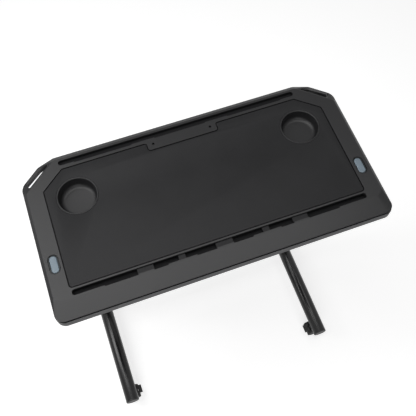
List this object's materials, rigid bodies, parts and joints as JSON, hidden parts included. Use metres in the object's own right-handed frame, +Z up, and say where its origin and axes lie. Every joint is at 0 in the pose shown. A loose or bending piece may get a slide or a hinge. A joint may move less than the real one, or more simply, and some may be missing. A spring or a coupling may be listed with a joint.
{
  "type": "trainer desk",
  "caption": "Rolling desk for indoor cycling: moulded tray with cup wells and device slots on telescoping columns, released by buttons, over a castored floor frame.",
  "frame": {"origin": "centre of the bounding box's bottom face, on the floor in the middle of the floor frame", "axes": "+X to the rider's right across the tray, +Y away from the rider, +Z up"},
  "size_m": [0.798, 0.49, 0.96],
  "materials": {
    "top_plastic": "fine textured, dark grey",
    "lower_plastic": "fine textured, grey",
    "mat_surface": "matte, near black",
    "well_plastic": "satin, dark grey",
    "button_plastic": "satin, blue grey",
    "bezel_plastic": "satin, dark slate",
    "frame_paint": "satin powder coat, black",
    "column_paint": "smooth satin, dark grey",
    "black_plastic": "moulded, black",
    "steel": "zinc plated",
    "tread": "matte, black"
  },
  "bodies": {
    "base": {"crossbar": "frame_paint", "floor_tube_left": "frame_paint", "floor_tube_right": "frame_paint", "column_foot_left": "frame_paint", "column_foot_right": "frame_paint", "outer_column_left": "frame_paint", "outer_column_right": "frame_paint", "column_collar_left": "black_plastic", "column_collar_right": "black_plastic", "tube_cap_near_left": "black_plastic", "tube_cap_far_left": "black_plastic", "tube_cap_near_right": "black_plastic", "tube_cap_far_right": "black_plastic", "caster_socket_near_left": "steel", "caster_socket_far_left": "steel", "caster_socket_near_right": "steel", "caster_socket_far_right": "steel"},
    "desk": {"top_cover": "top_plastic", "bottom_cover": "lower_plastic", "desk_mat": "mat_surface", "cup_holder_left": "well_plastic", "cup_holder_right": "well_plastic", "button_bezel_left": "bezel_plastic", "button_bezel_right": "bezel_plastic", "support_arm_left": "steel", "support_arm_right": "steel", "inner_column_left": "column_paint", "inner_column_right": "column_paint", "column_plug_left": "black_plastic", "column_plug_right": "black_plastic", "button_spring_left": "steel", "button_spring_right": "steel"},
    "button_left": {"release_button_left": "button_plastic"},
    "button_right": {"release_button_right": "button_plastic"},
    "lever_left": {"release_lever_left": "steel"},
    "lever_right": {"release_lever_right": "steel"},
    "rod_left": {"pull_rod_left": "steel"},
    "rod_right": {"pull_rod_right": "steel"},
    "pin_left": {"lock_pin_left": "steel"},
    "pin_right": {"lock_pin_right": "steel"},
    "caster_near_left": {"caster_housing_near_left": "black_plastic"},
    "caster_far_left": {"caster_housing_far_left": "black_plastic"},
    "caster_near_right": {"caster_housing_near_right": "black_plastic"},
    "caster_far_right": {"caster_housing_far_right": "black_plastic"},
    "wheel_near_left_a": {"caster_wheel_near_left_a": "tread"},
    "wheel_near_left_b": {"caster_wheel_near_left_b": "tread"},
    "wheel_far_left_a": {"caster_wheel_far_left_a": "tread"},
    "wheel_far_left_b": {"caster_wheel_far_left_b": "tread"},
    "wheel_near_right_a": {"caster_wheel_near_right_a": "tread"},
    "wheel_near_right_b": {"caster_wheel_near_right_b": "tread"},
    "wheel_far_right_a": {"caster_wheel_far_right_a": "tread"},
    "wheel_far_right_b": {"caster_wheel_far_right_b": "tread"},
    "brake_near_left": {"caster_brake_near_left": "black_plastic"},
    "brake_far_left": {"caster_brake_far_left": "black_plastic"},
    "brake_near_right": {"caster_brake_near_right": "black_plastic"},
    "brake_far_right": {"caster_brake_far_right": "black_plastic"}
  },
  "joints": [
    {"name": "height_adjust", "type": "slide", "parent": "base", "child": "desk", "axis": [0, 0, 1], "range_m": [-0.12, 0.24]},
    {"name": "button_press_left", "type": "slide", "parent": "desk", "child": "button_left", "axis": [0, 0, -1], "range_m": [0, 0.004], "stiffness_N_per_m": 1500, "springref_m": -0.002, "deforming": ["button_spring_left"]},
    {"name": "button_press_right", "type": "slide", "parent": "desk", "child": "button_right", "axis": [0, 0, -1], "range_m": [0, 0.004], "stiffness_N_per_m": 1500, "springref_m": -0.002, "deforming": ["button_spring_right"]},
    {"name": "lever_rock_left", "type": "hinge", "parent": "desk", "child": "lever_left", "pos_m": [-0.371, 0.013, 0.94604], "axis": [1, 0, 0], "range_deg": [0, 3.1]},
    {"name": "lever_rock_right", "type": "hinge", "parent": "desk", "child": "lever_right", "pos_m": [0.371, 0.013, 0.94604], "axis": [1, 0, 0], "range_deg": [0, 3.1]},
    {"name": "rod_lift_left", "type": "slide", "parent": "desk", "child": "rod_left", "axis": [0, 0, 1], "range_m": [0, 0.0059]},
    {"name": "rod_lift_right", "type": "slide", "parent": "desk", "child": "rod_right", "axis": [0, 0, 1], "range_m": [0, 0.0059]},
    {"name": "pin_retract_left", "type": "slide", "parent": "desk", "child": "pin_left", "axis": [0, 1, 0], "range_m": [0, 0.0059]},
    {"name": "pin_retract_right", "type": "slide", "parent": "desk", "child": "pin_right", "axis": [0, 1, 0], "range_m": [0, 0.0059]},
    {"name": "swivel_near_left", "type": "hinge", "parent": "base", "child": "caster_near_left", "pos_m": [-0.345, -0.205, 0.07], "axis": [0, 0, 1], "continuous": true},
    {"name": "swivel_far_left", "type": "hinge", "parent": "base", "child": "caster_far_left", "pos_m": [-0.345, 0.205, 0.07], "axis": [0, 0, 1], "continuous": true},
    {"name": "swivel_near_right", "type": "hinge", "parent": "base", "child": "caster_near_right", "pos_m": [0.345, -0.205, 0.07], "axis": [0, 0, 1], "continuous": true},
    {"name": "swivel_far_right", "type": "hinge", "parent": "base", "child": "caster_far_right", "pos_m": [0.345, 0.205, 0.07], "axis": [0, 0, 1], "continuous": true},
    {"name": "roll_near_left_a", "type": "hinge", "parent": "caster_near_left", "child": "wheel_near_left_a", "pos_m": [-0.337, -0.205, 0.021], "axis": [0, 1, 0], "continuous": true},
    {"name": "roll_near_left_b", "type": "hinge", "parent": "caster_near_left", "child": "wheel_near_left_b", "pos_m": [-0.337, -0.205, 0.021], "axis": [0, 1, 0], "continuous": true},
    {"name": "roll_far_left_a", "type": "hinge", "parent": "caster_far_left", "child": "wheel_far_left_a", "pos_m": [-0.337, 0.205, 0.021], "axis": [0, 1, 0], "continuous": true},
    {"name": "roll_far_left_b", "type": "hinge", "parent": "caster_far_left", "child": "wheel_far_left_b", "pos_m": [-0.337, 0.205, 0.021], "axis": [0, 1, 0], "continuous": true},
    {"name": "roll_near_right_a", "type": "hinge", "parent": "caster_near_right", "child": "wheel_near_right_a", "pos_m": [0.337, -0.205, 0.021], "axis": [0, 1, 0], "continuous": true},
    {"name": "roll_near_right_b", "type": "hinge", "parent": "caster_near_right", "child": "wheel_near_right_b", "pos_m": [0.337, -0.205, 0.021], "axis": [0, 1, 0], "continuous": true},
    {"name": "roll_far_right_a", "type": "hinge", "parent": "caster_far_right", "child": "wheel_far_right_a", "pos_m": [0.337, 0.205, 0.021], "axis": [0, 1, 0], "continuous": true},
    {"name": "roll_far_right_b", "type": "hinge", "parent": "caster_far_right", "child": "wheel_far_right_b", "pos_m": [0.337, 0.205, 0.021], "axis": [0, 1, 0], "continuous": true},
    {"name": "brake_press_near_left", "type": "hinge", "parent": "caster_near_left", "child": "brake_near_left", "pos_m": [-0.323, -0.205, 0.0425], "axis": [0, 1, 0], "range_deg": [0, 12]},
    {"name": "brake_press_far_left", "type": "hinge", "parent": "caster_far_left", "child": "brake_far_left", "pos_m": [-0.323, 0.205, 0.0425], "axis": [0, 1, 0], "range_deg": [0, 12]},
    {"name": "brake_press_near_right", "type": "hinge", "parent": "caster_near_right", "child": "brake_near_right", "pos_m": [0.323, -0.205, 0.0425], "axis": [0, -1, 0], "range_deg": [0, 12]},
    {"name": "brake_press_far_right", "type": "hinge", "parent": "caster_far_right", "child": "brake_far_right", "pos_m": [0.323, 0.205, 0.0425], "axis": [0, -1, 0], "range_deg": [0, 12]}
  ],
  "couplings": [
    {"joint": "lever_rock_left", "follows": "button_press_left", "rad_per_m": 13.423},
    {"joint": "rod_lift_left", "follows": "button_press_left", "ratio": 1.4631},
    {"joint": "pin_retract_left", "follows": "button_press_left", "ratio": 1.4631},
    {"joint": "lever_rock_right", "follows": "button_press_right", "rad_per_m": 13.423},
    {"joint": "rod_lift_right", "follows": "button_press_right", "ratio": 1.4631},
    {"joint": "pin_retract_right", "follows": "button_press_right", "ratio": 1.4631}
  ]
}
